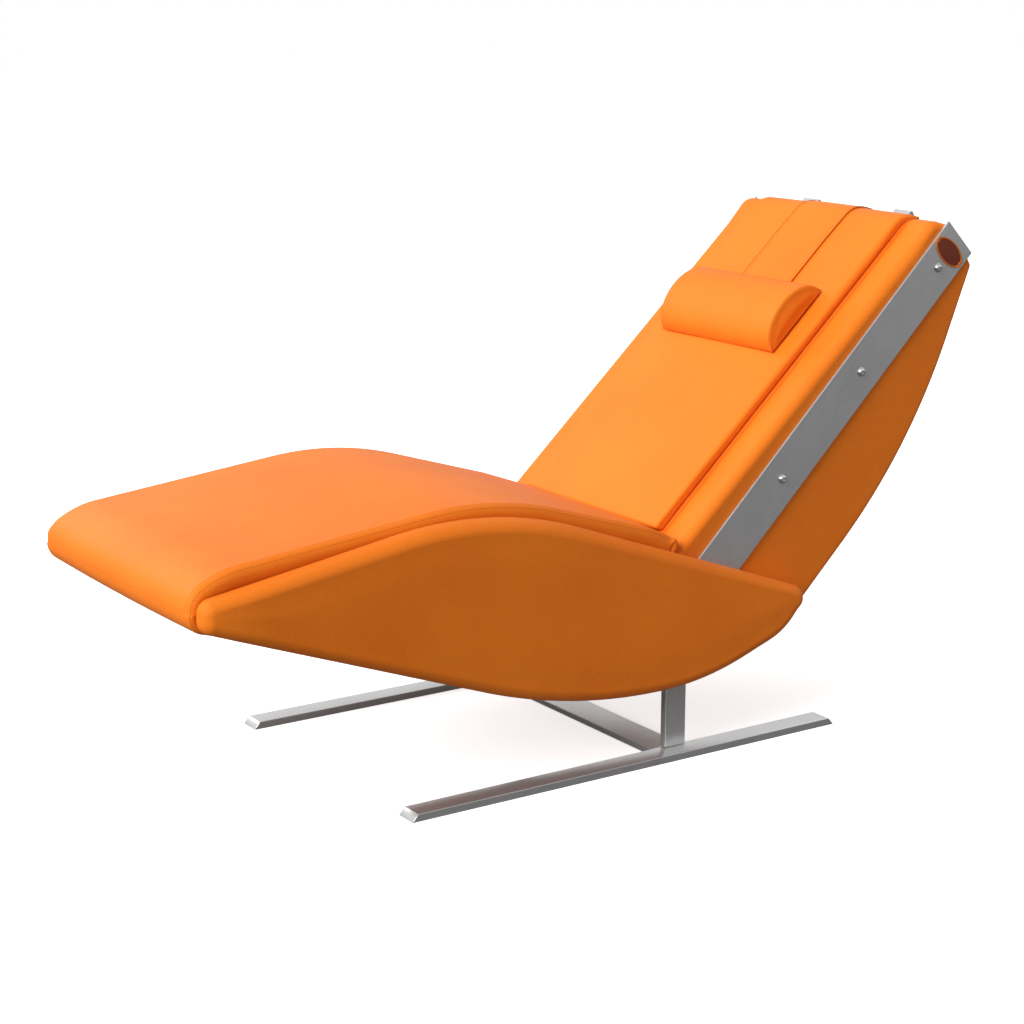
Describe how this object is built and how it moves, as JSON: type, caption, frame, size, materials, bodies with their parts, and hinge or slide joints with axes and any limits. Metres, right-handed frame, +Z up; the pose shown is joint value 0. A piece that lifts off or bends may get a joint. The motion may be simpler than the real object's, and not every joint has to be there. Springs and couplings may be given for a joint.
{
  "type": "relaxation lounger",
  "caption": "Upholstered relaxation lounger: boat-shaped side panels, a long seat pad with a raised knee, a reclining wedge back with a head pillow, on a flat steel sled base.",
  "frame": {"origin": "on the floor under the middle of the lounger's overall box", "axes": "+X from the foot end towards the head end, +Y towards the far side, +Z up"},
  "size_m": [1.8204, 0.717, 1.0385],
  "materials": {
    "upholstery": "satin",
    "steel": "satin",
    "bright_steel": "polished",
    "plywood": "matte"
  },
  "bodies": {
    "base": {"rail_near": "steel", "rail_far": "steel", "cross_plate": "steel", "upright_near": "steel", "upright_far": "steel", "hip_spreader": "steel", "fitting_fixed_near": "steel", "fitting_fixed_far": "steel", "pivot_bolt_near": "bright_steel", "pivot_bolt_far": "bright_steel", "mount_block_near": "steel", "mount_block_far": "steel", "mount_bolt_near_1": "bright_steel", "mount_bolt_near_2": "bright_steel", "mount_bolt_far_1": "bright_steel", "mount_bolt_far_2": "bright_steel", "side_panel_near": "upholstery", "side_panel_far": "upholstery", "seat_pad": "upholstery", "seat_deck": "plywood", "front_former": "plywood", "knee_former": "plywood", "seat_former": "plywood", "belly_cover": "upholstery", "rear_stretcher": "plywood"},
    "backrest": {"fitting_moving_near": "steel", "fitting_moving_far": "steel", "back_bar_near": "steel", "back_bar_far": "steel", "back_rail_near": "plywood", "back_rail_far": "plywood", "top_plate": "steel", "front_panel": "upholstery", "back_cushion": "upholstery", "rear_wedge": "upholstery", "bar_screw_near_1": "bright_steel", "bar_screw_near_2": "bright_steel", "bar_screw_near_3": "bright_steel", "bar_screw_far_1": "bright_steel", "bar_screw_far_2": "bright_steel", "bar_screw_far_3": "bright_steel", "top_clip_near": "steel", "top_clip_far": "steel", "strap": "upholstery", "strap_clamp": "steel"},
    "pillow": {"head_pillow": "upholstery"}
  },
  "joints": [
    {"name": "backrest_recline", "type": "hinge", "parent": "base", "child": "backrest", "pos_m": [0.15435, 0, 0.2895], "axis": [0, 1, 0], "range_deg": [0, 18]},
    {"name": "pillow_slide", "type": "slide", "parent": "backrest", "child": "pillow", "axis": [0.7331, 0, 0.6801], "range_m": [-0.08, 0.12]}
  ]
}
